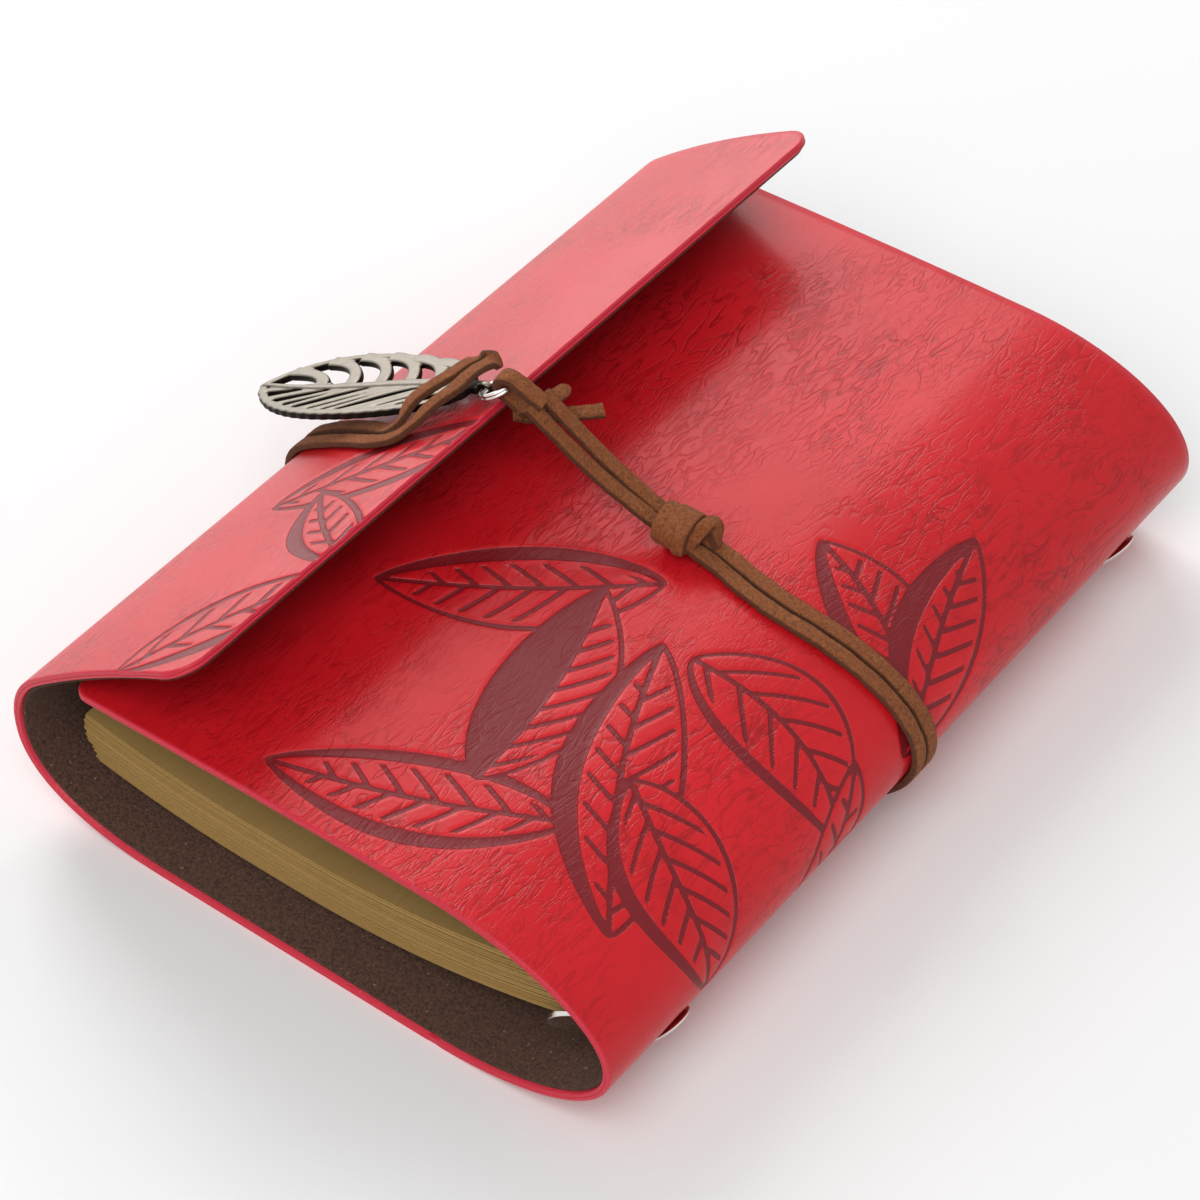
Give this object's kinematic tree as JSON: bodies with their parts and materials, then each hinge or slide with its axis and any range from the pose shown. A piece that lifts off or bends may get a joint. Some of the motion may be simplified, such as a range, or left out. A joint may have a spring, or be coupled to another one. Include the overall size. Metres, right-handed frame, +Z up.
{
  "type": "refillable ring journal album",
  "caption": "Refillable scrapbook journal: soft wrap cover with fold-over flap, ring mechanism with kraft leaves, and a suede strap closed over an openwork leaf charm.",
  "frame": {"origin": "under the middle of the closed book, on the surface that its back cover lies on", "axes": "+X from the fold of the flap to the spine, +Y along the spine to the far end, +Z up from the back cover to the front cover"},
  "size_m": [0.1442, 0.18, 0.0649],
  "materials": {
    "red_leatherette": "satin, debossed and finely crinkled",
    "flocked_lining": "matt flock",
    "kraft_paper": "matt uncoated paper",
    "nickel_plate": "polished nickel",
    "antique_pewter": "antiqued satin",
    "brown_suede": "suede nap"
  },
  "bodies": {
    "book": {"spine_panel": "red_leatherette", "spine_lining": "flocked_lining", "back_cover": "red_leatherette", "back_lining": "flocked_lining", "page_group_1": "kraft_paper", "page_group_2": "kraft_paper", "page_group_3": "kraft_paper", "page_group_4": "kraft_paper", "ring_arch": "nickel_plate", "rivet_near": "nickel_plate", "rivet_far": "nickel_plate", "strap_under_near": "brown_suede", "strap_under_far": "brown_suede"},
    "cover": {"front_cover": "red_leatherette", "front_lining": "flocked_lining", "strap_spine_side_near": "brown_suede", "strap_spine_side_far": "brown_suede", "strap_knot": "brown_suede"},
    "leaves_lower": {"page_group_5": "kraft_paper"},
    "leaves_middle": {"page_group_6": "kraft_paper"},
    "leaves_top": {"page_group_7": "kraft_paper"},
    "flap": {"flap_panel": "red_leatherette", "flap_lining": "flocked_lining", "strap_loop": "brown_suede", "jump_ring": "nickel_plate", "strap_hitch": "brown_suede", "strap_flap_side_near": "brown_suede", "strap_flap_side_far": "brown_suede", "strap_tail_short": "brown_suede", "strap_tail_long": "brown_suede"},
    "leaf": {"leaf_charm": "antique_pewter"},
    "rings_upper": {"ring_rail_upper": "nickel_plate", "half_ring_upper_1": "nickel_plate", "half_ring_upper_2": "nickel_plate", "half_ring_upper_3": "nickel_plate", "half_ring_upper_4": "nickel_plate", "half_ring_upper_5": "nickel_plate", "half_ring_upper_6": "nickel_plate"},
    "rings_lower": {"ring_rail_lower": "nickel_plate", "half_ring_lower_1": "nickel_plate", "half_ring_lower_2": "nickel_plate", "half_ring_lower_3": "nickel_plate", "half_ring_lower_4": "nickel_plate", "half_ring_lower_5": "nickel_plate", "half_ring_lower_6": "nickel_plate"},
    "lever_near": {"ring_lever_near": "nickel_plate"},
    "lever_far": {"ring_lever_far": "nickel_plate"}
  },
  "joints": [
    {"name": "cover_open", "type": "hinge", "parent": "book", "child": "cover", "pos_m": [0.06438, 0, 0.02708], "axis": [0, 1, 0], "range_deg": [0, 56]},
    {"name": "flap_open", "type": "hinge", "parent": "book", "child": "flap", "pos_m": [-0.067, 0, 0.02], "axis": [0, -1, 0], "range_deg": [0, 140]},
    {"name": "leaves_lower_turn", "type": "hinge", "parent": "book", "child": "leaves_lower", "pos_m": [0.05161, 0, 0.01986], "axis": [0, 1, 0], "range_deg": [0, 16.8]},
    {"name": "leaves_middle_turn", "type": "hinge", "parent": "book", "child": "leaves_middle", "pos_m": [0.05161, 0, 0.01986], "axis": [0, 1, 0], "range_deg": [0, 28]},
    {"name": "leaves_top_turn", "type": "hinge", "parent": "book", "child": "leaves_top", "pos_m": [0.05161, 0, 0.01986], "axis": [0, 1, 0], "range_deg": [0, 41]},
    {"name": "leaf_swing", "type": "hinge", "parent": "flap", "child": "leaf", "pos_m": [-0.02536, -0.0066, 0.05874], "axis": [-0.4466, 0, 0.8947], "range_deg": [-3, 3]},
    {"name": "rings_open", "type": "hinge", "parent": "book", "child": "rings_upper", "pos_m": [0.05676, 0, 0.01504], "axis": [0, 1, 0], "range_deg": [0, 4]},
    {"name": "rings_lower_open", "type": "hinge", "parent": "book", "child": "rings_lower", "pos_m": [0.05676, 0, 0.01504], "axis": [0, 1, 0], "range_deg": [-4, 0]},
    {"name": "lever_near_tip", "type": "hinge", "parent": "book", "child": "lever_near", "pos_m": [0.05731, -0.0755, 0.01453], "axis": [0.683, 0, 0.7304], "range_deg": [0, 14]},
    {"name": "lever_far_tip", "type": "hinge", "parent": "book", "child": "lever_far", "pos_m": [0.05731, 0.0755, 0.01453], "axis": [-0.683, 0, -0.7304], "range_deg": [0, 14]}
  ],
  "couplings": [
    {"joint": "flap_open", "follows": "cover_open", "ratio": 2.5},
    {"joint": "leaves_lower_turn", "follows": "cover_open", "ratio": 0.3},
    {"joint": "leaves_middle_turn", "follows": "cover_open", "ratio": 0.5},
    {"joint": "leaves_top_turn", "follows": "cover_open", "ratio": 0.72},
    {"joint": "rings_lower_open", "follows": "rings_open", "ratio": -1},
    {"joint": "lever_near_tip", "follows": "rings_open", "ratio": 3.5},
    {"joint": "lever_far_tip", "follows": "rings_open", "ratio": 3.5}
  ]
}
